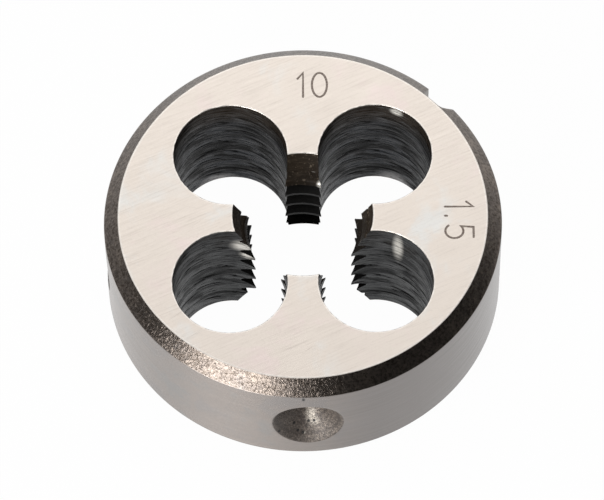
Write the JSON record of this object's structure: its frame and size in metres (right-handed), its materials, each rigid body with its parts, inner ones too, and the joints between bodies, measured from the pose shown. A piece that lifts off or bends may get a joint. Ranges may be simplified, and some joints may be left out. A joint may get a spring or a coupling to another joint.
{
  "type": "round threading die",
  "caption": "Round steel die with a threaded bore broken by chip holes into cutting lands, a V notch and dimples in its rim.",
  "frame": {"origin": "centre of the lower face, on the thread axis", "axes": "+Z along the thread axis, out of the upper face; -Y through the middle of the land behind the front locking dimple; the V notch in the wall is halfway between +X and +Y"},
  "size_m": [0.03, 0.03, 0.011],
  "materials": {
    "steel": "satin"
  },
  "bodies": {
    "root": {"die_body": "steel"}
  },
  "joints": []
}
